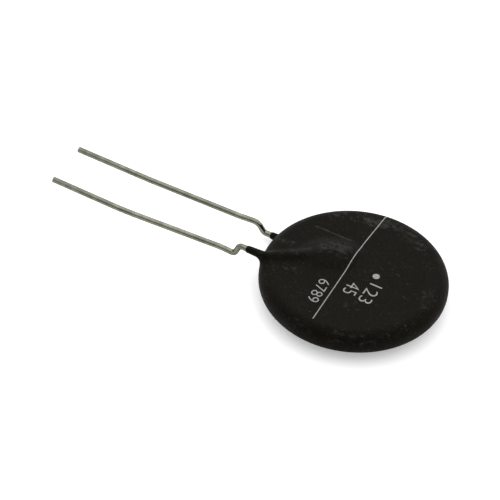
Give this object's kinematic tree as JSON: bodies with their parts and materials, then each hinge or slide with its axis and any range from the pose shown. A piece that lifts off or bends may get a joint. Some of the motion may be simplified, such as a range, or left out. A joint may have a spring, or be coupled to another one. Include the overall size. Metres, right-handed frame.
{
  "type": "ntc thermistor",
  "caption": "Round disc thermistor in a dipped black resin coat, with wire leads that step out of short sleeves and run side by side.",
  "frame": {"origin": "under the middle of the whole part, on the surface that it lies on", "axes": "+Z along the disc's axis, out of the front face; the leads leave the disc along -X; +Y from the front lead towards the rear lead"},
  "size_m": [0.0578, 0.026, 0.0055],
  "materials": {
    "black_resin": "matte",
    "dark_ceramic": "matte",
    "fired_silver": "satin",
    "solder": "satin",
    "tinned_wire": "satin"
  },
  "bodies": {
    "root": {"coating": "black_resin", "ceramic_disc": "dark_ceramic", "front_electrode": "fired_silver", "rear_electrode": "fired_silver", "front_solder_joint": "solder", "rear_solder_joint": "solder", "front_lead": "tinned_wire", "rear_lead": "tinned_wire"}
  },
  "joints": []
}
